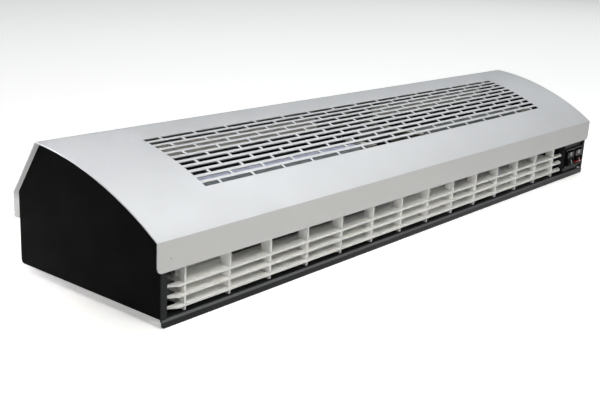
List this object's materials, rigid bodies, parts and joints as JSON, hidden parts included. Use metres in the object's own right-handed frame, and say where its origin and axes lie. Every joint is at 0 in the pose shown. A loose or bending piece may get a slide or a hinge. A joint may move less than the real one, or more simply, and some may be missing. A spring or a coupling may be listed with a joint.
{
  "type": "air curtain",
  "caption": "Door air curtain: curved slotted sheet cover over two cross-flow fan wheels on one motor, with a louvred outlet, black end plates and rocker switches.",
  "frame": {"origin": "middle of the wall side: centre of the length and the depth, at the level of the tray's turned-down edge", "axes": "+X along the length towards the switches, -Y the air outlet (downwards in use), +Z away from the wall into the room"},
  "size_m": [0.82, 0.1926, 0.1274],
  "materials": {
    "white_paint": "satin powder coat",
    "black_paint": "satin powder coat",
    "grille_plastic": "moulded, fine satin",
    "zinc_sheet": "galvanised",
    "wheel_metal": "dark anodised",
    "steel": "ground",
    "motor_metal": "bare casting",
    "winding": "enamelled copper",
    "bronze": "sintered",
    "rubber": "moulded",
    "heater_steel": "heat tinted",
    "black_plastic": "polished moulding",
    "red_plastic": "translucent red",
    "pale_plastic": "moulded"
  },
  "bodies": {
    "chassis": {"cover": "white_paint", "base_tray": "black_paint", "wall_rail": "black_paint", "end_plate_left": "black_paint", "end_plate_right": "black_paint", "outlet_grille": "grille_plastic", "blanking_plates": "white_paint", "end_baffle": "black_paint", "fan_cheek_1": "zinc_sheet", "fan_cheek_2": "zinc_sheet", "fan_cheek_3": "zinc_sheet", "fan_cheek_4": "zinc_sheet", "scroll_left": "zinc_sheet", "scroll_right": "zinc_sheet", "stabiliser_left": "zinc_sheet", "stabiliser_right": "zinc_sheet", "motor_stator": "winding", "motor_casing": "black_paint", "motor_bracket": "zinc_sheet", "motor_bearings": "bronze", "end_bearings": "bronze", "bearing_mounts": "rubber", "run_capacitor": "black_plastic", "heater_left": "heater_steel", "heater_right": "heater_steel", "thermal_cutout": "black_plastic", "switch_panel": "black_paint", "rocker_frame_1": "black_plastic", "rocker_frame_2": "black_plastic", "terminal_block": "pale_plastic", "cable_gland": "rubber", "lip_rivets": "steel", "foot_screws": "steel"},
    "rotor": {"motor_shaft": "steel", "motor_rotor": "motor_metal", "fan_wheel_left": "wheel_metal", "fan_wheel_right": "wheel_metal", "drive_hubs": "rubber", "stub_shafts": "steel"},
    "vent_key": {"rocker_key_1": "black_plastic"},
    "heat_key": {"rocker_key_2": "red_plastic"}
  },
  "joints": [
    {"name": "fan_spin", "type": "hinge", "parent": "chassis", "child": "rotor", "pos_m": [0, 0.011, 0.064], "axis": [1, 0, 0], "continuous": true},
    {"name": "vent_rocker", "type": "hinge", "parent": "chassis", "child": "vent_key", "pos_m": [0.35955, -0.0888, 0.027], "axis": [1, 0, 0], "range_deg": [0, 18]},
    {"name": "heat_rocker", "type": "hinge", "parent": "chassis", "child": "heat_key", "pos_m": [0.38555, -0.0888, 0.027], "axis": [1, 0, 0], "range_deg": [0, 18]}
  ]
}
